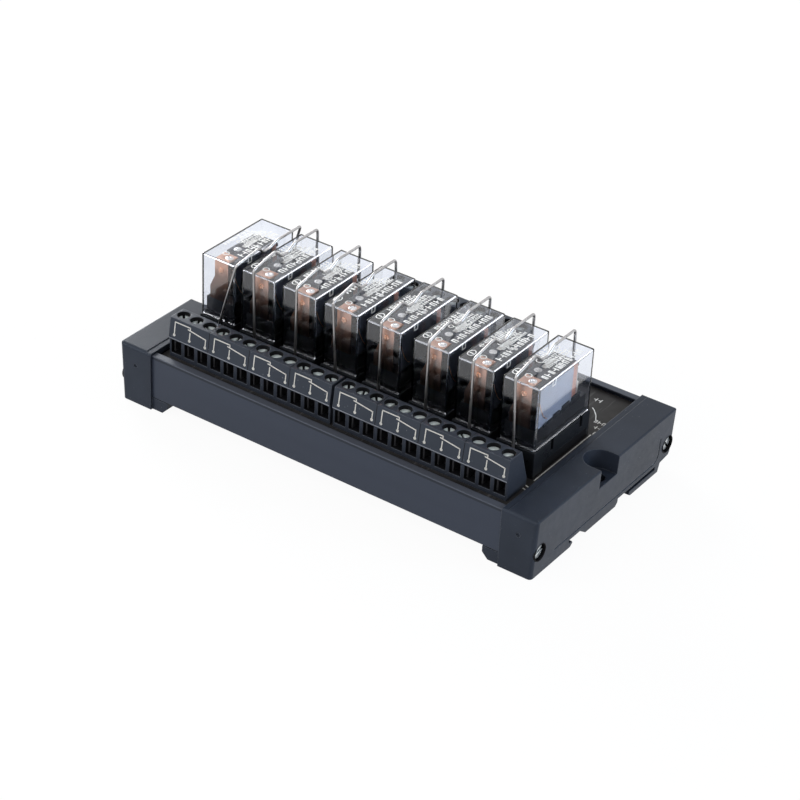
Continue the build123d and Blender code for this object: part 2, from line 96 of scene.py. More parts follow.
# End cap screws
CAP_SCREW_RADIUS = 2.2
CAP_SCREW_HEIGHT = 2.0
CAP_SCREW_SLOT = 0.7
CAP_SCREW_PROUD = 0.35
COUNTERBORE_RADIUS = 2.83
# Thickness of the dark sleeve of painted shade in each counterbore
COUNTERBORE_SHADE_THICKNESS = 0.12
COUNTERBORE_STEP = -1.3

# Relays
COVER_WALL = 0.68
COVER_EDGE = 0.45
BASE_ABOVE_COVER_FOOT = 6.05
COIL_FROM_FRONT = 9.6
STROKE_HEIGHT = 0.02
CROSS_STROKE_HEIGHT = 0.021

# Clips, with the places of the bend along Y
WIRE_RADIUS = 0.43
UPRIGHT_CLIP = 3
REST_DEG = {1: 16.0, 2: -1.5, 4: -4.0, 8: -2.5}
BEND_RADIUS = 1.3
PIN_LENGTH = 2.3
PRESS_GAP = 0.67
CREST, PRESS_START, PRESS_END, LOOP_START = -9.0, -5.6, -2.8, 0.9
SHOULDER_BELOW_TOP = 2.4
LOOP_BELOW_TOP = 1.5

# Finishes, with depths and radii in metres and grain as waves in each metre
GRAIN = 9000.0
GRAIN_DEPTH = 0.00002
POLISH_GRAIN = 1500.0
POLISH_DEPTH = 0.00001
# Painted highlight on the edges of the carrier and blocks: the radius it spreads over and its
# colour
EDGE_HIGHLIGHT_RADIUS = 0.0002
EDGE_HIGHLIGHT = (0.17, 0.185, 0.21)
DUST = (0.3, 0.31, 0.33)
SCRATCH = (0.10, 0.10, 0.10)
COOL_SHEEN = (0.76, 0.87, 1.0)
BEVEL_SAMPLES = 4

# Heights over which the contact strips darken as painted shade and the tray's lip carries painted
# highlight and painted shadow
STRIP_SHADE_HEIGHT = 14.0
LIP_DEPTH = 1.6

# Edges, in degrees
BEVEL_FROM = 35
SMOOTH_BELOW = 30
COVER_SMOOTH_BELOW = 5
WIRE_SMOOTH_BELOW = 60

# Stage, in metres
LAMP_AIM = (0, 0, 0.02)
WORLD_LIGHT = 0.5
BACKDROP_SHARE = 0.94
FLOOR_HALF = 3.0


def corners(node):
    """Lowest and highest corner of a node, in millimetres."""
    low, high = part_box(node)
    return Vector(low) / MM, Vector(high) / MM


# Small mesh tools, all in millimetres
def circle(radius, sides, x=0.0, y=0.0):
    """Places round a circle in the XY plane."""
    return [(x + radius * math.cos(2 * math.pi * i / sides),
             y + radius * math.sin(2 * math.pi * i / sides)) for i in range(sides)]


def add_ring_verts(bm, radius, height, matrix, sides):
    """Vertices round the Z axis at a height, placed by a matrix."""
    return [bm.verts.new(matrix @ Vector((x, y, height))) for x, y in circle(radius, sides)]


def join_rings(bm, first, second):
    """Faces between two rings of vertices."""
    count = len(first)
    for i in range(count):
        j = (i + 1) % count
        bm.faces.new((first[i], first[j], second[j], second[i]))


def add_box(bm, x0, x1, y0, y1, z0, z1, matrix=None):
    """A box between two corners."""
    for vert in bmesh.ops.create_cube(bm, size=1.0)["verts"]:
        vert.co = Vector(((x0 + x1) / 2 + vert.co.x * (x1 - x0),
                          (y0 + y1) / 2 + vert.co.y * (y1 - y0),
                          (z0 + z1) / 2 + vert.co.z * (z1 - z0)))
        if matrix is not None:
            vert.co = matrix @ vert.co


def add_prism(bm, outline, depth, matrix):
    """An outline in the XY plane drawn up by depth, then placed by a matrix."""
    low = [bm.verts.new(matrix @ Vector((x, y, 0))) for x, y in outline]
    high = [bm.verts.new(matrix @ Vector((x, y, depth))) for x, y in outline]
    bm.faces.new(list(reversed(low)))
    bm.faces.new(high)
    join_rings(bm, low, high)


def add_cylinder(bm, radius, z0, z1, x, y, sides=32):
    """An upright cylinder."""
    add_prism(bm, circle(radius, sides, x, y), z1 - z0, Matrix.Translation((0, 0, z0)))


def add_sleeve(bm, inner, outer, z0, z1, matrix, sides=32):
    """A short open tube along Z, placed by a matrix."""
    rings = [add_ring_verts(bm, radius, height, matrix, sides)
             for radius, height in ((inner, z0), (outer, z0), (outer, z1), (inner, z1))]
    for first, second in zip(rings, rings[1:] + rings[:1]):
        join_rings(bm, first, second)


def add_lathe(bm, profile, matrix, sides=32):
    """A profile of radius and height turned round the Z axis, then placed by a matrix."""
    rings = [add_ring_verts(bm, radius, height, matrix, sides) for radius, height in profile]
    for lower, upper in zip(rings, rings[1:]):
        join_rings(bm, lower, upper)
    bm.faces.new(list(reversed(rings[0])))
    bm.faces.new(rings[-1])


def new_piece(bm, name):
    """An object in metres from a mesh in millimetres, which is freed."""
    bmesh.ops.recalc_face_normals(bm, faces=bm.faces)
    bmesh.ops.scale(bm, vec=(MM, MM, MM), verts=bm.verts)
    mesh = bpy.data.meshes.new(name)
    bm.to_mesh(mesh)
    bm.free()
    piece = bpy.data.objects.new(name, mesh)
    bpy.context.collection.objects.link(piece)
    return piece


def finish_piece(bm, name, material, slot, body=CARRIER, replaced=(), bevel=0.0):
    """Turn a mesh in millimetres into a piece that rides on a body."""
    piece = new_piece(bm, name)
    if bevel:
        modifier = piece.modifiers.new("edges", "BEVEL")
        modifier.width = bevel * MM
        modifier.segments = 2
        modifier.limit_method = "ANGLE"
        modifier.angle_limit = math.radians(BEVEL_FROM)
        modifier.harden_normals = False
        apply_modifiers(piece)
    piece.data.materials.append(material)
    smooth_mesh(piece.data, SMOOTH_BELOW)
    dress(piece, body, replaced)


def box_piece(name, material, slot, *boxes, **more):
    """One piece made of boxes."""
    bm = bmesh.new()
    for box in boxes:
        add_box(bm, *box)
    finish_piece(bm, name, material, slot, **more)


def apply_modifiers(piece):
    """Keep the shape that the modifiers make, as plain mesh."""
    depsgraph = bpy.context.evaluated_depsgraph_get()
    shaped = bpy.data.meshes.new_from_object(piece.evaluated_get(depsgraph))
    piece.modifiers.clear()
    piece.data = shaped


def smooth_mesh(mesh, angle):
    """Smooth shading, with edges sharper than the angle left crisp."""
    mesh.shade_smooth()
    mesh.set_sharp_from_angle(angle=math.radians(angle))


def dress(piece, body, replaced=()):
    """Hang a piece on the body that carries it, and hide the parts that it replaces."""
    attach(piece, body)
    if replaced:
        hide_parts(*replaced)


# Materials
def new_material(name):
    """A material with its node tree, its shader and the places on the object for patterns."""
    material = bpy.data.materials.new(name)
    material.use_nodes = True
    tree = material.node_tree
    shader = tree.nodes["Principled BSDF"]
    place = tree.nodes.new("ShaderNodeTexCoord").outputs["Object"]
    return material, tree, shader, place


def noise(tree, place, scale, detail=4.0, stretch=(1, 1, 1)):
    """A noise pattern, with scale as waves in each metre."""
    mapping = tree.nodes.new("ShaderNodeMapping")
    mapping.inputs["Scale"].default_value = stretch
    tree.links.new(place, mapping.inputs["Vector"])
    pattern = tree.nodes.new("ShaderNodeTexNoise")
    pattern.inputs["Scale"].default_value = scale
    pattern.inputs["Detail"].default_value = detail
    tree.links.new(mapping.outputs["Vector"], pattern.inputs["Vector"])
    return pattern.outputs["Fac"]


def ramp(tree, factor, stops):
    """Colours or greys along a factor, as (place, colour) stops."""
    node = tree.nodes.new("ShaderNodeValToRGB")
    elements = node.color_ramp.elements
    while len(elements) < len(stops):
        elements.new(0.5)
    for element, (at, colour) in zip(elements, stops):
        element.position = at
        element.color = (*colour, 1.0)
    tree.links.new(factor, node.inputs["Fac"])
    return node.outputs["Color"]


def grey(value):
    """A grey as a colour."""
    return (value, value, value)


def reckon(tree, operation, *terms):
    """The result of a sum on sockets and plain numbers."""
    node = tree.nodes.new("ShaderNodeMath")
    node.operation = operation
    for term, socket in zip(terms, node.inputs):
        if isinstance(term, float):
            socket.default_value = term
        else:
            tree.links.new(term, socket)
    return node.outputs[0]


def carry(tree, value, start, end, low=0.0, high=1.0):
    """A value carried from the range start to end into the range low to high."""
    node = tree.nodes.new("ShaderNodeMapRange")
    for label, number in (("From Min", start), ("From Max", end),
                          ("To Min", low), ("To Max", high)):
        node.inputs[label].default_value = number
    tree.links.new(value, node.inputs["Value"])
    return node.outputs["Result"]


def blend(tree, factor, first, second):
    """The first colour turned to the second by a factor. The second may be a plain colour."""
    mix = tree.nodes.new("ShaderNodeMix")
    mix.data_type = "RGBA"
    tree.links.new(factor, mix.inputs["Factor"])
    tree.links.new(first, mix.inputs["A"])
    if isinstance(second, tuple):
        mix.inputs["B"].default_value = (*second, 1.0)
    else:
        tree.links.new(second, mix.inputs["B"])
    return mix.outputs["Result"]


def height_on(tree, place):
    """The height of a place, in metres."""
    split = tree.nodes.new("ShaderNodeSeparateXYZ")
    tree.links.new(place, split.inputs[0])
    return split.outputs["Z"]


def soft_edges(tree, shader, radius):
    """Edges that catch the light as if they had a small radius."""
    edge = tree.nodes.new("ShaderNodeBevel")
    edge.samples = BEVEL_SAMPLES
    edge.inputs["Radius"].default_value = radius
    normal = shader.inputs["Normal"]
    if normal.links:
        tree.links.new(edge.outputs["Normal"], normal.links[0].from_node.inputs["Normal"])
    else:
        tree.links.new(edge.outputs["Normal"], normal)


def paint_edge_highlights(tree, shader, amount):
    """Painted highlight: edges a little paler than the faces beside them."""
    rounded = tree.nodes.new("ShaderNodeBevel")
    rounded.samples = BEVEL_SAMPLES
    rounded.inputs["Radius"].default_value = EDGE_HIGHLIGHT_RADIUS
    true_normal = tree.nodes.new("ShaderNodeNewGeometry").outputs["True Normal"]
    agree = tree.nodes.new("ShaderNodeVectorMath")
    agree.operation = "DOT_PRODUCT"
    tree.links.new(rounded.outputs["Normal"], agree.inputs[0])
    tree.links.new(true_normal, agree.inputs[1])
    share = carry(tree, agree.outputs["Value"], 0.99, 0.85, high=amount)
    base = shader.inputs["Base Color"]
    tree.links.new(blend(tree, share, base.links[0].from_socket, EDGE_HIGHLIGHT), base)


def bump(tree, shader, height, strength, distance):
    """Fine relief from a pattern, with its depth in metres."""
    node = tree.nodes.new("ShaderNodeBump")
    node.inputs["Strength"].default_value = strength
    node.inputs["Distance"].default_value = distance
    tree.links.new(height, node.inputs["Height"])
    tree.links.new(node.outputs["Normal"], shader.inputs["Normal"])


def moulded(name, colour, roughness=0.42, variation=0.25, specular=0.3, streaks=(1, 1, 1),
            dust=0.0, edge=0.0004, sheen=(1.0, 1.0, 1.0), edge_highlights=0.0):
    """Moulded or drawn plastic with a fine grain, faint cloudy shade and a few dust specks."""
    material, tree, shader, place = new_material(name)
    shader.inputs["Specular Tint"].default_value = (*sheen, 1.0)
    clouds = noise(tree, place, 60.0, 3.0, streaks)
    dark = tuple(c * (1 - variation) for c in colour)
    light = tuple(min(1.0, c * (1 + variation)) for c in colour)
    shade = ramp(tree, clouds, [(0.3, dark), (0.7, light)])
    if dust:
        specks = ramp(tree, noise(tree, place, 1400.0, 1.0),
                      [(0.74, grey(0.0)), (0.80, grey(dust))])
        shade = blend(tree, specks, shade, DUST)
    tree.links.new(shade, shader.inputs["Base Color"])
    # Painted highlight along the edges
    if edge_highlights:
        paint_edge_highlights(tree, shader, edge_highlights)
    rough = ramp(tree, noise(tree, place, 400.0, 4.0, streaks),
                 [(0.3, grey(roughness - 0.03)), (0.7, grey(roughness + 0.05))])
    tree.links.new(rough, shader.inputs["Roughness"])
    shader.inputs["Specular IOR Level"].default_value = specular
    bump(tree, shader, noise(tree, place, GRAIN, 2.0), 0.35, GRAIN_DEPTH)
    if edge:
        soft_edges(tree, shader, edge)
    return material


def metal(name, colour, roughness, streaks=(1, 1, 1), metallic=1.0):
    """Bare or plated metal with fine uneven polish."""
    material, tree, shader, place = new_material(name)
    shader.inputs["Metallic"].default_value = metallic
    shade = noise(tree, place, 300.0, 3.0, streaks)
    dark = tuple(c * 0.8 for c in colour)
    tree.links.new(ramp(tree, shade, [(0.3, dark), (0.65, colour)]), shader.inputs["Base Color"])
    polish = noise(tree, place, POLISH_GRAIN, 3.0, streaks)
    rough = ramp(tree, polish, [(0.3, grey(roughness - 0.08)), (0.7, grey(roughness + 0.12))])
    tree.links.new(rough, shader.inputs["Roughness"])
    bump(tree, shader, polish, 0.2, POLISH_DEPTH)
    return material


def ink(name, colour, wear=0.25):
    """Printed ink, a little uneven where it is thin."""
    material, tree, shader, place = new_material(name)
    patches = noise(tree, place, 2500.0, 3.0)
    thin = tuple(c * (1 - wear) for c in colour)
    tree.links.new(ramp(tree, patches, [(0.35, thin), (0.55, colour)]), shader.inputs["Base Color"])
    shader.inputs["Roughness"].default_value = 0.55
    return material


def clear_cover(name):
    """Clear moulded plastic, a little smeared and faintly blue."""
    material, tree, shader, place = new_material(name)
    tint = noise(tree, place, 200.0, 2.0)
    tree.links.new(ramp(tree, tint, [(0.3, (0.90, 0.92, 0.97)), (0.7, (0.94, 0.96, 1.0))]),
                   shader.inputs["Base Color"])
    shader.inputs["Transmission Weight"].default_value = 1.0
    shader.inputs["IOR"].default_value = 1.49
    smear = noise(tree, place, 700.0, 3.0)
    tree.links.new(ramp(tree, smear, [(0.45, grey(0.0)), (0.8, grey(0.06))]),
                   shader.inputs["Roughness"])
    return material


def paint_lip_light_and_shadow(material, top):
    """Painted light on the tray's lip by height in millimetres: a lighter top and bright front edge
    as painted highlight, and the dark line below it as painted shadow.
    """
    tree = material.node_tree
    shader = tree.nodes["Principled BSDF"]
    base = shader.inputs["Base Color"]
    place = next(node for node in tree.nodes if node.bl_idname == "ShaderNodeTexCoord")
    height = height_on(tree, place.outputs["Object"])
    gain = ramp(tree, carry(tree, height, (top - LIP_DEPTH) * MM, top * MM),
                [(0.0, grey(1.0)), (0.3, grey(0.4)), (0.78, (2.4, 2.2, 1.9)),
                 (0.98, (2.3, 2.1, 1.75))])
    gain.node.color_ramp.interpolation = "CONSTANT"
    product = tree.nodes.new("ShaderNodeVectorMath")
    product.operation = "MULTIPLY"
    tree.links.new(base.links[0].from_socket, product.inputs[0])
    tree.links.new(gain, product.inputs[1])
    tree.links.new(product.outputs["Vector"], base)


def plastic_below_metal(name, height, plastic, strip, roughness):
    """Plastic up to a height in millimetres and metal strip above it, the strip darkened low down
    as painted shade.
    """
    material, tree, shader, place = new_material(name)
    z = height_on(tree, place)
    above = reckon(tree, "GREATER_THAN", z, height * MM)
    shade = noise(tree, place, 500.0, 3.0)
    low_colour = ramp(tree, shade, [(0.3, tuple(c * 0.7 for c in plastic)), (0.7, plastic)])
    # Painted shade: the metal strip darkens towards its foot
    rise = carry(tree, z, height * MM, (height + STRIP_SHADE_HEIGHT) * MM)
    high_colour = ramp(tree, reckon(tree, "MULTIPLY_ADD", shade, 0.3, rise),
                       [(at, tuple(c * gain for c in strip))
                        for at, gain in ((0.2, 0.10), (0.75, 0.32), (1.0, 0.8))])
    tree.links.new(blend(tree, above, low_colour, high_colour), shader.inputs["Base Color"])
    tree.links.new(above, shader.inputs["Metallic"])
    shader.inputs["Roughness"].default_value = roughness
    bump(tree, shader, noise(tree, place, 3000.0, 2.0), 0.2, POLISH_DEPTH)
    return material


def winding_copper(name):
    """Enamelled wire, laid in fine level turns."""
    material, tree, shader, place = new_material(name)
    turns = tree.nodes.new("ShaderNodeTexWave")
    turns.wave_type = "BANDS"
    turns.bands_direction = "Z"
    turns.inputs["Scale"].default_value = 900.0
    turns.inputs["Distortion"].default_value = 0.6
    tree.links.new(place, turns.inputs["Vector"])
    colour = ramp(tree, turns.outputs["Fac"],
                  [(0.2, (0.42, 0.17, 0.12)), (0.8, (0.80, 0.42, 0.32))])
    tree.links.new(colour, shader.inputs["Base Color"])
    shader.inputs["Metallic"].default_value = 0.2
    shader.inputs["Roughness"].default_value = 0.35
    bump(tree, shader, turns.outputs["Fac"], 0.6, 0.00005)
    return material


def board_finish(name):
    """Dark solder resist, brown-black, with fine scratches."""
    material, tree, shader, place = new_material(name)
    base = ramp(tree, noise(tree, place, 140.0, 5.0), [(0.3, (0.014, 0.0135, 0.0135)),
                                                       (0.7, (0.033, 0.031, 0.031))])
    scratches = noise(tree, place, 900.0, 6.0, (1.0, 0.06, 1.0))
    lines = ramp(tree, scratches, [(0.60, grey(0.0)), (0.70, grey(0.5))])
    tree.links.new(blend(tree, lines, base, SCRATCH), shader.inputs["Base Color"])
    shader.inputs["Roughness"].default_value = 0.5
    shader.inputs["Specular IOR Level"].default_value = 0.15
    bump(tree, shader, scratches, 0.3, 0.00003)
    return material


FINISH = {
    "carrier": moulded("carrier_plastic", (0.017, 0.021, 0.031), 0.36, variation=0.16,
                       specular=0.17, dust=0.3, sheen=COOL_SHEEN, edge_highlights=0.5),
    "tray": moulded("tray_plastic", (0.025, 0.030, 0.045), 0.34, variation=0.1, specular=0.25,
                    streaks=(0.05, 1, 1), sheen=COOL_SHEEN),
    "black": moulded("black_plastic", (0.009, 0.010, 0.012), 0.3, specular=0.2, sheen=COOL_SHEEN),
    "well": moulded("shaded_well", (0.004, 0.004, 0.005), 0.5, specular=0.1),
    "block": moulded("block_plastic", (0.023, 0.027, 0.037), 0.38, variation=0.1, specular=0.25,
                     dust=0.3, sheen=COOL_SHEEN, edge_highlights=0.5),
    # Painted highlight for the bright line along the blocks' slope edge
    "highlight_line": moulded("painted_edge_highlight", (0.22, 0.235, 0.27), 0.4, edge=0.0),
    "panel_shade": moulded("shaded_panel", (0.055, 0.06, 0.075), 0.4, variation=0.12),
    "dark": moulded("bobbin_plastic", (0.020, 0.025, 0.038), 0.4),
    "panel": moulded("side_panel", (0.32, 0.36, 0.45), 0.4, variation=0.12),
    "diode": moulded("diode_body", (0.03, 0.03, 0.03), 0.4),
    "board": board_finish("board_finish"),
    "cover": clear_cover("clear_cover"),
    "print": ink("white_ink", (0.86, 0.86, 0.85)),
    "block_print": ink("pale_ink", (0.52, 0.51, 0.48)),
    "silk": ink("silk_ink", (0.75, 0.75, 0.73), 0.4),
    "steel": metal("bright_wire", (0.42, 0.41, 0.41), 0.3, streaks=(1, 1, 0.1)),
    "zinc": metal("zinc_screw", (0.80, 0.88, 0.88), 0.42, metallic=0.4),
    "cap_screw": metal("dull_screw", (0.62, 0.64, 0.64), 0.3, metallic=0.8),
    "tin": metal("tinned_yoke", (0.55, 0.56, 0.57), 0.35),
    # Clamps kept dark as painted shade, for the shade inside the wire entries
    "clamp": metal("shaded_clamp_metal", (0.10, 0.10, 0.11), 0.5),
    "copper": metal("copper_strip", (0.80, 0.46, 0.30), 0.32),
    "silver": metal("contact_silver", (0.95, 0.92, 0.88), 0.3),
    "pale": moulded("pale_insulation", (0.70, 0.66, 0.60), 0.45),
    "winding": winding_copper("winding_copper"),
}


def repaint(node, material):
    """Give a CAD node its finish."""
    obj = frame["nodes"][node]
    obj.data.materials.clear()
    obj.data.materials.append(material)


def paint_nodes():
    """Finishes of the CAD nodes that stay."""
    paint_lip_light_and_shadow(FINISH["tray"], corners("carrier_tray")[1].z)
    repaint("carrier_tray", FINISH["tray"])
    repaint("left_end_cap", FINISH["carrier"])
    repaint("right_end_cap", FINISH["carrier"])
    repaint("circuit_board", FINISH["board"])
    for node in ("front_terminal_block_left", "front_terminal_block_right", "rear_terminal_block"):
        repaint(node, FINISH["block"])
    repaint("terminal_clamps", FINISH["clamp"])
    repaint("coil_diodes", FINISH["diode"])
    base_top = corners("relay_cover_1")[0].z + BASE_ABOVE_COVER_FOOT
    contacts = plastic_below_metal("base_and_contacts", base_top, (0.010, 0.010, 0.011),
                                   (0.80, 0.46, 0.33), 0.32)
    for n in CHANNELS:
        repaint(f"socket_{n}", FINISH["black"])
        repaint(f"relay_base_{n}", contacts)
        repaint(f"relay_armature_{n}", FINISH["dark"])


# Terminal blocks
def slotted_head(bm, radius, height, x, y, z_top, angle, slot_width, slot_depth, steps=12):
    """A cheese head with a slot, standing below z_top."""
    place = Matrix.Translation((x, y, 0)) @ Matrix.Rotation(angle, 4, "Z")
    floor = z_top - slot_depth
    add_cylinder(bm, radius, z_top - height, floor, x, y)
    reach = math.acos(slot_width / 2 / radius)
    for side in (-1, 1):
        turns = [-reach + 2 * reach * i / steps for i in range(steps + 1)]
        outline = [(side * radius * math.cos(turn), side * radius * math.sin(turn))
                   for turn in turns]
        add_prism(bm, outline, slot_depth, place @ Matrix.Translation((0, 0, floor)))


def block_rows():
    """Each terminal block as name, ways along X, screw row along Y, top and front face."""
    rows = []
    for node, from_front in (("front_terminal_block_left", True),
                             ("front_terminal_block_right", True),
                             ("rear_terminal_block", False)):
        low, high = corners(node)
        ways = round((high.x - low.x) / PITCH)
        xs = [low.x + (way + 0.5) * PITCH for way in range(ways)]
        front, inward = (low.y, 1) if from_front else (high.y, -1)
        rows.append((node, xs, front + inward * ROW_FROM_FRONT, high.z, front))
    return rows


def make_terminal_screws():
    """Bright slotted heads, with dark sheets of painted shade in their slots and round them in
    their wells.
    """
    chance = random.Random(4)
    heads, shade = bmesh.new(), bmesh.new()
    for _, xs, y, top, _ in block_rows():
        for x in xs:
            turn = chance.uniform(0, math.pi)
            head_top = top - SCREW_SINK
            slotted_head(heads, SCREW_RADIUS, SCREW_HEIGHT, x, y, head_top, turn, SLOT_WIDTH,
                         SLOT_DEPTH)
            place = Matrix.Translation((x, y, head_top)) @ Matrix.Rotation(turn, 4, "Z")
            across, along = 0.49 * SLOT_WIDTH, 0.96 * SCREW_RADIUS
            add_box(shade, -across, across, -along, along, -SLOT_DEPTH, SLOT_SHADE_THICKNESS - SLOT_DEPTH,
                    place)
            add_sleeve(shade, WELL_RADIUS - WELL_SHADE_THICKNESS, WELL_RADIUS, -SCREW_HEIGHT,
                       SCREW_SINK - WELL_BELOW_TOP, place)
    finish_piece(heads, "terminal_screw_heads", FINISH["zinc"], "screw_steel",
                 replaced=("terminal_screws",), bevel=0.12)
    finish_piece(shade, "terminal_well_shade", FINISH["well"], "black_plastic")


def add_line(bm, place, start, end, weight, rise):
    """A raised line between two places of a flat panel."""
    start, end = Vector(start), Vector(end)
    along = (end - start).normalized() * weight / 2
    across = Vector((-along.y, along.x))
    start, end = start - along, end + along
    outline = [start + across, start - across, end - across, end + across]
    add_prism(bm, [(p.x, p.y) for p in outline], rise, place)


def add_dot(bm, place, centre, radius, rise, sides=16):
    """A raised dot on a flat panel."""
    add_prism(bm, circle(radius, sides, *centre), rise, place)


def block_slope():
    """The lean of the blocks' front faces, for marks drawn from their upper edge down."""
    lean = math.atan2(TOP_FROM_FRONT, RIDGE_BELOW_TOP)
    return Matrix.Rotation(math.pi / 2 - lean, 4, "X")


def make_schematic_print():
    """The contact symbol of each channel on the sloped front of its three ways."""
    bar_down, foot_down = -1.1, -5.4
    closed_x, common_x, open_x = -5.9, 0.0, 6.05
    arm_start, arm_end = (-0.75, -1.9), (open_x, -2.85)
    lines = [
        ((closed_x, foot_down), (closed_x, bar_down)),
        ((closed_x, bar_down), (common_x, bar_down)),
        ((common_x, bar_down), (common_x, -1.75)),
        (arm_start, arm_end),
        (arm_end, (open_x, foot_down)),
        ((common_x, arm_end[1]), (common_x, foot_down)),
    ]
    slope = block_slope()
    bm = bmesh.new()
    for _, xs, _, top, front in block_rows()[:2]:
        for middle in xs[1::WAYS_PER_GROUP]:
            corner = (middle + SYMBOL_SHIFT, front + TOP_FROM_FRONT, top)
            place = Matrix.Translation(corner) @ slope
            for start, end in lines:
                add_line(bm, place, start, end, SYMBOL_LINE, PRINT_RISE)
            for x in (closed_x, common_x, open_x):
                add_dot(bm, place, (x, foot_down), SYMBOL_DOT, PRINT_RISE)
    finish_piece(bm, "terminal_schematic_print", FINISH["block_print"], "black_plastic")


def make_block_seams():
    """The dark joins between the three-way modules of the terminal blocks."""
    slope = block_slope()
    bm = bmesh.new()
    for node, xs, _, top, front in block_rows()[:2]:
        rear = corners(node)[1].y
        for first_way in xs[WAYS_PER_GROUP::WAYS_PER_GROUP]:
            x = first_way - PITCH / 2
            place = Matrix.Translation((x, front + TOP_FROM_FRONT, top)) @ slope
            add_line(bm, place, (0, 0), (0, -RIDGE_BELOW_TOP), SEAM_LINE, PRINT_RISE / 2)
            add_box(bm, x - SEAM_LINE / 2, x + SEAM_LINE / 2, front + TOP_FROM_FRONT, rear,
                    top - 0.1, top + PRINT_RISE / 2)
    finish_piece(bm, "terminal_block_seams", FINISH["well"], "black_plastic")


def make_entries():
    """Painted shade in the wire entries, as dark sheets inside them, and a painted highlight as a
    bright line along the edge above them.
    """
    shade, edge = bmesh.new(), bmesh.new()
    wall = ENTRY_SHADE_THICKNESS
    for node, xs, _, top, front in block_rows()[:2]:
        low, high = corners(node)
        z0 = low.z + ENTRY_SILL + ENTRY_GAP
        z1 = z0 + ENTRY_HEIGHT - 2 * ENTRY_GAP
        y0, y1 = front + ENTRY_FROM_FRONT, front + ENTRY_FROM_FRONT + ENTRY_DEPTH
        for x in xs:
            x0, x1 = x - ENTRY_WIDTH / 2 + ENTRY_GAP, x + ENTRY_WIDTH / 2 - ENTRY_GAP
            for plate in ((x0, x0 + wall, y0, y1, z0, z1), (x1 - wall, x1, y0, y1, z0, z1),
                          (x0, x1, y0, y1, z0, z0 + wall), (x0, x1, y0, y1, z1 - wall, z1)):
                add_box(shade, *plate)
        ridge = top - RIDGE_BELOW_TOP
        add_box(edge, low.x + 0.05, high.x - 0.05, front - 0.02, front + 0.2, ridge - 0.12,
                ridge + 0.1)
    finish_piece(shade, "terminal_entry_shade", FINISH["well"], "black_plastic")
    finish_piece(edge, "terminal_edge_line", FINISH["highlight_line"], "black_plastic")


# Clips
def rounded_route(points, radius, steps=6):
    """A route in Y and Z with its corners turned into arcs."""
    route = [Vector(points[0])]
    for before, corner, after in zip(points, points[1:], points[2:]):
        corner = Vector(corner)
        back = Vector(before) - corner
        ahead = Vector(after) - corner
        half = back.angle(ahead) / 2
        reach = min(radius / math.tan(half), 0.45 * back.length, 0.45 * ahead.length)
        start = corner + back.normalized() * reach
        end = corner + ahead.normalized() * reach
        for i in range(steps + 1):
            t = i / steps
            route.append((1 - t) ** 2 * start + 2 * t * (1 - t) * corner + t ** 2 * end)
    route.append(Vector(points[-1]))
    return route


def make_clip(n):
    """A hold-down clip of round wire, leaning as it rests, in place of the node's plainer one."""
    joint = next(j for j in frame["joints"] if j["name"] == f"clip_{n}_swing")
    pivot = Vector(joint["pos_m"]) / MM
    low, high = corners(f"clip_{UPRIGHT_CLIP}")
    front, rear, top = low.y + WIRE_RADIUS, high.y - WIRE_RADIUS, high.z
    press = corners(f"relay_cover_{n}")[1].z + PRESS_GAP + WIRE_RADIUS
    loop = top - LOOP_BELOW_TOP
    points = [
        (front + PIN_LENGTH, pivot.z), (front, pivot.z), (front, top - SHOULDER_BELOW_TOP),
        (CREST, top - WIRE_RADIUS - 0.1), (PRESS_START, press), (PRESS_END, press),
        (LOOP_START, loop), (rear, loop), (rear, pivot.z), (rear - PIN_LENGTH, pivot.z),
    ]
    route = rounded_route(points, BEND_RADIUS)
    curve = bpy.data.curves.new(f"clip_wire_{n}", "CURVE")
    curve.dimensions = "3D"
    curve.bevel_depth = WIRE_RADIUS * MM
    curve.bevel_resolution = 4
    curve.use_fill_caps = True
    spline = curve.splines.new("POLY")
    spline.points.add(len(route) - 1)
    swing = Matrix.Rotation(math.radians(REST_DEG.get(n, 0.0)), 4, "Y")
    for point, (y, z) in zip(spline.points, route):
        place = pivot + swing @ Vector((0, y - pivot.y, z - pivot.z))
        point.co = (*(place * MM), 1.0)
    maker = bpy.data.objects.new(f"clip_wire_{n}", curve)
    bpy.context.collection.objects.link(maker)
    depsgraph = bpy.context.evaluated_depsgraph_get()
    mesh = bpy.data.meshes.new_from_object(maker.evaluated_get(depsgraph))
    bpy.data.objects.remove(maker)
    piece = bpy.data.objects.new(f"clip_wire_{n}", mesh)
    bpy.context.collection.objects.link(piece)
    mesh.materials.clear()
    mesh.materials.append(FINISH["steel"])
    smooth_mesh(mesh, WIRE_SMOOTH_BELOW)
    dress(piece, f"clip_{n}", (f"clip_{n}",))


# Relays
def make_socket_openings(n):
    """Painted shade: dark sheets standing for the openings low in both sides of a socket."""
    low, high = corners(f"socket_{n}")
    box_piece(f"socket_opening_shade_{n}", FINISH["well"], "black_plastic",
              *[(x - 0.03, x + 0.03, low.y + 5.0, high.y - 1.2, low.z + 0.3, low.z + 3.3)
                for x in (low.x, high.x)])


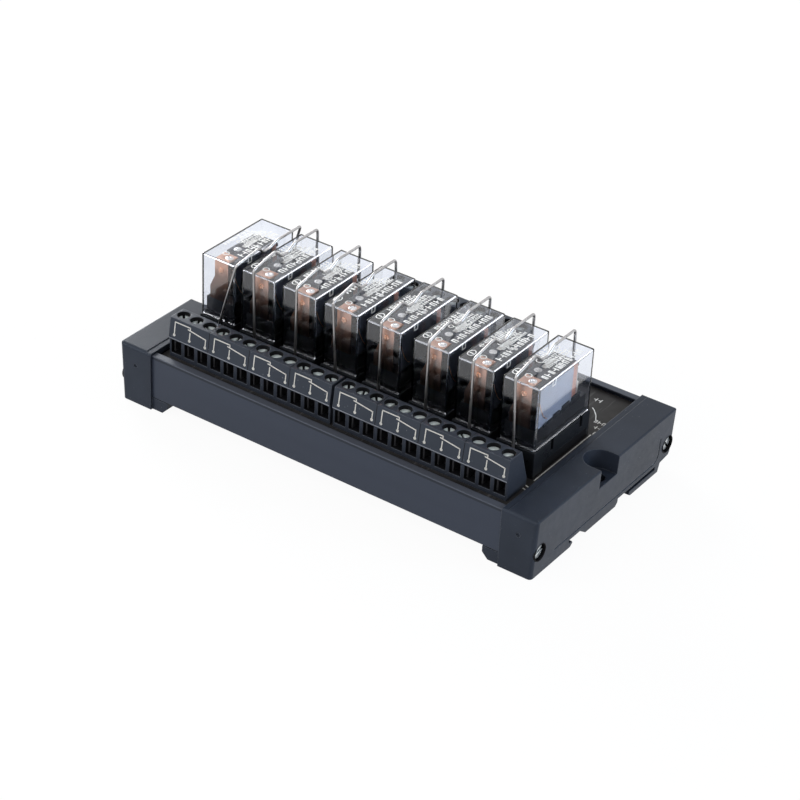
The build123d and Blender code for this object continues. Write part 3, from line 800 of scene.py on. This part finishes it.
def make_cover(n):
    """A clear open shell with rounded edges."""
    low, high = corners(f"relay_cover_{n}")
    bm = bmesh.new()
    add_box(bm, low.x, high.x, low.y, high.y, low.z, high.z)
    bottom = [face for face in bm.faces if face.calc_center_median().z < low.z + 0.01]
    bmesh.ops.delete(bm, geom=bottom, context="FACES_ONLY")
    piece = new_piece(bm, f"clear_cover_{n}")
    edge = piece.modifiers.new("edges", "BEVEL")
    edge.width = COVER_EDGE * MM
    edge.segments = 3
    wall = piece.modifiers.new("wall", "SOLIDIFY")
    wall.thickness = COVER_WALL * MM
    wall.offset = -1.0
    apply_modifiers(piece)
    piece.data.materials.append(FINISH["cover"])
    smooth_mesh(piece.data, COVER_SMOOTH_BELOW)
    dress(piece, CARRIER, (f"relay_cover_{n}",))


def add_tube(bm, route, radius, sides=8):
    """A thin wire along a route of points."""
    rings = []
    for i, point in enumerate(route):
        ahead = route[min(i + 1, len(route) - 1)] - route[max(i - 1, 0)]
        turn = ahead.to_track_quat("Z", "Y").to_matrix()
        rings.append([bm.verts.new(point + turn @ Vector((x, y, 0)))
                      for x, y in circle(radius, sides)])
    for lower, upper in zip(rings, rings[1:]):
        join_rings(bm, lower, upper)
    bm.faces.new(list(reversed(rings[0])))
    bm.faces.new(rings[-1])


def make_relay_inside(n):
    """Bobbin, winding, yoke and side panel, which stand for the magnet."""
    low, high = corners(f"relay_magnet_{n}")
    cover_low, cover_high = corners(f"relay_cover_{n}")
    left, right, front, rear, z0, z1 = low.x, high.x, low.y, high.y, low.z, high.z
    coil = front + COIL_FROM_FRONT
    box_piece(f"coil_winding_{n}", FINISH["winding"], "coil_copper",
              (left + 0.3, right - 0.1, coil, rear - 1.1, z0 + 1.8, z1 - 1.2),
              (right - 0.2, right + 0.35, front + 10.4, rear - 0.9, z0 + 2.4, z1 + 2.0),
              replaced=(f"relay_magnet_{n}",), bevel=0.3)
    box_piece(f"coil_shroud_{n}", FINISH["dark"], "relay_black",
              (left, right, front, coil, z0, z1 - 0.4),
              (left, right, front, rear - 1.0, z1 - 1.4, z1 - 0.6),
              (left, right, front, rear - 1.0, z0, z0 + 1.9), bevel=0.25)
    box_piece(f"side_panel_{n}", FINISH["panel" if n == CHANNELS[-1] else "panel_shade"],
              "relay_black",
              (right + 0.05, right + 0.45, cover_low.y + 1.9, front + 10.3, z0 + 0.4, z1 + 2.0),
              bevel=0.15)
    steps = ((4.4, 9.5, 0.9), (9.5, 13.0, 1.7), (13.0, 14.2, 1.0), (14.2, 18.2, 2.3),
             (18.2, 19.4, 1.4), (19.4, 24.0, 2.7))
    box_piece(f"base_steps_{n}", FINISH["black"], "relay_black",
              *[(right + 0.35, right + 0.75, cover_low.y + y0, cover_low.y + y1, z0 - 0.2,
                 z0 + rise) for y0, y1, rise in steps], bevel=0.12)
    box_piece(f"coil_yoke_{n}", FINISH["tin"], "coil_copper",
              (left, right, rear - 1.0, rear, z0, z1), bevel=0.15)
    box_piece(f"coil_pin_{n}", FINISH["pale"], "relay_black",
              (right - 0.6, right, rear + 0.1, rear + 0.8, z0 + 1.6, z0 + 6.2), bevel=0.2)
    bm = bmesh.new()
    side = cover_high.x - 0.9
    bend = [Vector((side, cover_low.y + 1.1 + 4.8 * t, z0 + 9.9 - 7.5 * (1 - (1 - t) ** 1.7)))
            for t in (i / 10 for i in range(11))]
    add_tube(bm, bend, 0.12)
    finish_piece(bm, f"contact_spring_wire_{n}", FINISH["copper"], "spring_bronze")


def make_rivets(n):
    """Contact rivets under the clear top and on the front strip."""
    base_top = corners(f"relay_base_{n}")[1].z
    cover_low, cover_high = corners(f"relay_cover_{n}")
    x = (cover_low.x + cover_high.x) / 2
    bm = bmesh.new()
    add_lathe(bm, [(1.25, 0.0), (1.25, 0.15), (0.95, 0.3), (0.6, 0.3), (0.45, 0.1)],
              Matrix.Translation((x + 1.7, cover_low.y + 3.5, base_top)))
    finish_piece(bm, f"contact_rivet_{n}", FINISH["silver"], "relay_black")
    bm = bmesh.new()
    add_lathe(bm, [(0.95, 0.0), (0.9, 0.25), (0.6, 0.4), (0.45, 0.4), (0.3, 0.15)],
              Matrix.Translation((x + 0.6, cover_low.y + 1.3, base_top - 3.0))
              @ Matrix.Rotation(math.pi / 2, 4, "X"))
    finish_piece(bm, f"front_rivet_{n}", FINISH["copper"], "relay_black")


def make_armature_fittings(n):
    """Two rivets and pale insulation on the armature, seen through the clear top."""
    low, high = corners(f"relay_armature_{n}")
    x = (low.x + high.x) / 2
    top = high.z - 0.4
    bm = bmesh.new()
    add_lathe(bm, [(1.2, 0.0), (1.2, 0.35), (0.8, 0.4)],
              Matrix.Translation((x - 1.9, low.y + 9.4, top - 0.6)))
    add_lathe(bm, [(0.8, 0.0), (0.8, 0.3), (0.5, 0.4)],
              Matrix.Translation((x + 2.4, low.y + 14.5, top - 0.3)))
    finish_piece(bm, f"armature_rivets_{n}", FINISH["silver"], "spring_bronze",
                 body=f"armature_{n}")
    box_piece(f"armature_insulation_{n}", FINISH["pale"], "spring_bronze",
              (x - 2.2, x + 3.0, low.y + 11.5, low.y + 17.5, top - 0.6, top - 0.1),
              body=f"armature_{n}", bevel=0.15)


def greek_line(bm, x, y0, y1, height, z, chance, weight, matrix=None):
    """A line of plain strokes along Y, or along the matrix's own Y, that stands for lettering."""
    y = y0
    while y < y1:
        width = height * chance.uniform(0.45, 0.7)
        kind = chance.randrange(3)
        left, right, rise = x - height / 2, x + height / 2, z + STROKE_HEIGHT
        if kind != 1:
            add_box(bm, left, right, y, y + weight, z, rise, matrix)
        if kind != 2:
            add_box(bm, left, right, y + width - weight, y + width, z, rise, matrix)
        cross = left if kind == 0 else x - weight / 2
        add_box(bm, cross, cross + weight, y, y + width, z, z + CROSS_STROKE_HEIGHT, matrix)
        y += width + height * 0.28


def add_ring(bm, x, y, reach_x, reach_y, weight, z, sides=28):
    """A flat oval ring."""
    inner, outer = [], []
    for i in range(sides):
        turn = 2 * math.pi * i / sides
        for ring, cut in ((inner, weight), (outer, 0.0)):
            ring.append(bm.verts.new((x + (reach_x - cut) * math.cos(turn),
                                      y + (reach_y - cut) * math.sin(turn),
                                      z + STROKE_HEIGHT)))
    join_rings(bm, inner, outer)


def make_top_print(n):
    """Plain strokes and marks that stand for the print on a relay top."""
    low, high = corners(f"relay_cover_{n}")
    x = (low.x + high.x) / 2
    z = high.z + 0.01
    chance = random.Random(20 + n)
    bm = bmesh.new()
    greek_line(bm, x + 3.7, low.y + 6.0, low.y + 24.5, 2.2, z, chance, 0.45)
    greek_line(bm, x - 4.4, low.y + 8.6, low.y + 20.0, 1.5, z, chance, 0.32)
    for row, offset in enumerate((1.5, 0.3, -0.9, -2.1, -3.1)):
        greek_line(bm, x + offset, low.y + 11.5 + row * 0.8, low.y + 24.0 - row * 0.9, 1.0, z,
                   chance, 0.34)
    for _ in range(7):
        add_ring(bm, x + chance.uniform(-2.4, 3.2), low.y + chance.uniform(12.5, 22.5),
                 chance.uniform(0.7, 1.3), chance.uniform(0.8, 1.6), 0.28, z + 0.01)
    add_ring(bm, x - 0.5, low.y + 4.6, 1.1, 1.1, 0.3, z)
    if n > 1:
        add_ring(bm, x - 4.3, low.y + 4.4, 1.2, 1.7, 0.3, z)
        add_box(bm, x - 4.9, x - 3.7, low.y + 4.1, low.y + 4.6, z, z + STROKE_HEIGHT)
    finish_piece(bm, f"top_print_{n}", FINISH["print"], "relay_clear")


def make_vent_mark(n):
    """The small U moulded into the right edge of each cover."""
    low, high = corners(f"relay_cover_{n}")
    y = low.y + 7.6
    z1, depth, width, weight = high.z - 0.1, 2.1, 1.9, 0.36
    x0, x1 = high.x - 0.1, high.x + 0.06
    y0, y1 = y - width / 2, y + width / 2
    box_piece(f"vent_mark_{n}", FINISH["print"], "relay_clear",
              (x0, x1, y0, y0 + weight, z1 - depth, z1),
              (x0, x1, y1 - weight, y1, z1 - depth, z1),
              (x0, x1, y0, y1, z1 - depth, z1 - depth + weight), bevel=0.05)


def make_cap_screws():
    """Slotted screws deep in the counterbores of the end caps, each counterbore lined with a dark
    sleeve of painted shade.
    """
    low, high = corners("end_cap_screws")
    radius = (high.z - low.z) / 2
    bm, shade = bmesh.new(), bmesh.new()
    for side, turn in ((-1, 0.5), (1, 1.2)):
        for y in (low.y + radius, high.y - radius):
            face = high.x if side > 0 else low.x
            matrix = (Matrix.Translation((face, y, (low.z + high.z) / 2))
                      @ Matrix.Rotation(side * math.pi / 2, 4, "Y"))
            head = bmesh.new()
            slotted_head(head, CAP_SCREW_RADIUS, CAP_SCREW_HEIGHT, 0, 0, CAP_SCREW_PROUD,
                         turn + y * 0.03, CAP_SCREW_SLOT, CAP_SCREW_SLOT)
            bmesh.ops.transform(head, matrix=matrix, verts=head.verts)
            mesh = bpy.data.meshes.new("head")
            head.to_mesh(mesh)
            head.free()
            bm.from_mesh(mesh)
            bpy.data.meshes.remove(mesh)
            add_sleeve(shade, CAP_SCREW_RADIUS + 0.02, COUNTERBORE_RADIUS, -1.68,
                       COUNTERBORE_STEP, matrix)
            add_sleeve(shade, COUNTERBORE_RADIUS - COUNTERBORE_SHADE_THICKNESS, COUNTERBORE_RADIUS,
                       COUNTERBORE_STEP, 1.2, matrix)
    finish_piece(bm, "end_cap_screw_heads", FINISH["cap_screw"], "screw_steel",
                 replaced=("end_cap_screws",), bevel=0.12)
    finish_piece(shade, "end_cap_well_shade", FINISH["well"], "carrier_plastic")


def add_stroke(bm, start, end, weight, z):
    """A flat line on the board between two places."""
    start, end = Vector(start), Vector(end)
    along = (end - start).normalized()
    across = Vector((-along.y, along.x)) * weight / 2
    outline = [start + across, start - across, end - across, end + across]
    add_prism(bm, [(p.x, p.y) for p in outline], PRINT_RISE, Matrix.Translation((0, 0, z)))


def make_silkscreen():
    """White lines and short marks on the board."""
    z = corners("circuit_board")[1].z
    bm = bmesh.new()
    chance = random.Random(7)
    for n in CHANNELS:
        low, high = corners(f"socket_{n}")
        add_stroke(bm, (high.x + 0.7, low.y), (high.x + 0.7, high.y + 0.6), 0.35, z)
        greek_line(bm, (low.x + high.x) / 2, high.y + 7.0, high.y + 9.5, 1.2, z, chance, 0.2)
    low, high = corners("socket_8")
    lead = [(high.x - 6.7, high.y + 13.6), (high.x - 5.6, high.y + 12.8),
            (high.x - 3.7, high.y + 10.7), (high.x - 2.3, high.y + 8.3)]
    for start, end in zip(lead, lead[1:]):
        add_stroke(bm, start, end, 0.3, z)
    for dx, dy, length, height in ((-8.9, 18.2, 1.6, 1.8), (-2.3, 7.8, 4.9, 1.5),
                                   (-0.8, 4.9, 2.6, 1.5), (0.8, 2.0, 1.0, 1.5)):
        along_x = (Matrix.Translation((high.x + dx, high.y + dy, 0))
                   @ Matrix.Rotation(-math.pi / 2, 4, "Z"))
        greek_line(bm, 0, 0, length, height, z, chance, 0.27, along_x)
    for y in (-3.4, -5.0):
        add_stroke(bm, (high.x - 0.6, low.y + y), (high.x + 2.2, low.y + y - 0.6), 0.4, z)
    finish_piece(bm, "board_silkscreen", FINISH["silk"], "board")


# Stage
def add_camera():
    """The camera that the photograph was taken with, as fitted to it."""
    data = bpy.data.cameras.new("camera")
    data.lens = CAMERA_LENS
    data.sensor_width = SENSOR_WIDTH
    data.clip_start = 0.01
    camera = bpy.data.objects.new("camera", data)
    turn = (Matrix.Rotation(CAMERA_HEADING, 4, "Z") @ Matrix.Rotation(CAMERA_TILT, 4, "X")
            @ Matrix.Rotation(CAMERA_ROLL, 4, "Z"))
    camera.matrix_world = Matrix.Translation(CAMERA_PLACE) @ turn
    bpy.context.collection.objects.link(camera)
    bpy.context.scene.camera = camera


def add_lamp(name, place, size, watts, colour=(1.0, 1.0, 1.0)):
    """A round soft lamp aimed at the object."""
    data = bpy.data.lights.new(name, "AREA")
    data.color = colour
    data.shape = "DISK"
    data.size = size
    data.energy = watts
    lamp = bpy.data.objects.new(name, data)
    direction = Vector(LAMP_AIM) - Vector(place)
    lamp.matrix_world = (Matrix.Translation(place)
                         @ direction.to_track_quat("-Z", "Y").to_matrix().to_4x4())
    bpy.context.collection.objects.link(lamp)


def sees_backdrop(tree, rays):
    """1 for the rays that see the white backdrop: camera, glossy and transmission."""
    straight = reckon(tree, "MAXIMUM", rays.outputs["Is Camera Ray"],
                      rays.outputs["Is Transmission Ray"])
    return reckon(tree, "MAXIMUM", straight, rays.outputs["Is Glossy Ray"])


def add_world():
    """A white backdrop that lights the object at half strength."""
    world = bpy.data.worlds.new("studio")
    world.use_nodes = True
    tree = world.node_tree
    background = tree.nodes["Background"]
    rays = tree.nodes.new("ShaderNodeLightPath")
    strength = carry(tree, sees_backdrop(tree, rays), 0.0, 1.0, low=WORLD_LIGHT)
    tree.links.new(strength, background.inputs["Strength"])
    background.inputs["Color"].default_value = (1.0, 1.0, 1.0, 1.0)
    bpy.context.scene.world = world


def add_floor():
    """A white floor that melts into the backdrop and keeps the object's shadow."""
    mesh = bpy.data.meshes.new("floor")
    half = FLOOR_HALF
    mesh.from_pydata([(-half, -half, 0), (half, -half, 0), (half, half, 0), (-half, half, 0)],
                     [], [(0, 1, 2, 3)])
    floor = bpy.data.objects.new("floor", mesh)
    bpy.context.collection.objects.link(floor)
    material = bpy.data.materials.new("white_floor")
    material.use_nodes = True
    tree = material.node_tree
    shader = tree.nodes["Principled BSDF"]
    shader.inputs["Base Color"].default_value = (0.85, 0.85, 0.85, 1.0)
    shader.inputs["Roughness"].default_value = 0.9
    shader.inputs["Specular IOR Level"].default_value = 0.0
    glow = tree.nodes.new("ShaderNodeEmission")
    mix = tree.nodes.new("ShaderNodeMixShader")
    rays = tree.nodes.new("ShaderNodeLightPath")
    share = reckon(tree, "MULTIPLY", sees_backdrop(tree, rays), BACKDROP_SHARE)
    tree.links.new(share, mix.inputs["Fac"])
    tree.links.new(shader.outputs["BSDF"], mix.inputs[1])
    tree.links.new(glow.outputs["Emission"], mix.inputs[2])
    tree.links.new(mix.outputs["Shader"], tree.nodes["Material Output"].inputs["Surface"])
    mesh.materials.append(material)


paint_nodes()
make_terminal_screws()
make_schematic_print()
make_block_seams()
make_entries()
make_cap_screws()
make_silkscreen()
for channel in CHANNELS:
    make_socket_openings(channel)
    make_clip(channel)
    make_cover(channel)
    make_relay_inside(channel)
    make_rivets(channel)
    make_armature_fittings(channel)
    make_vent_mark(channel)
    make_top_print(channel)

add_camera()
add_world()
add_floor()
add_lamp("rim", (-1.0, 0.54, 0.46), 0.6, 13.0)
add_lamp("front", (-0.05, -0.95, 0.70), 0.6, 5.0)
add_lamp("front left", (-0.60, -0.60, 0.35), 0.3, 1.6)
add_lamp("side", (1.0, 0.3, 0.40), 0.5, 8.0, (0.70, 0.84, 1.0))
add_lamp("rear edge", (0.50, 0.83, 0.70), 0.25, 0.25)
add_lamp("front edge", (-0.56, -0.40, 0.95), 0.25, 0.9)
bpy.context.scene.view_settings.view_transform = "Standard"
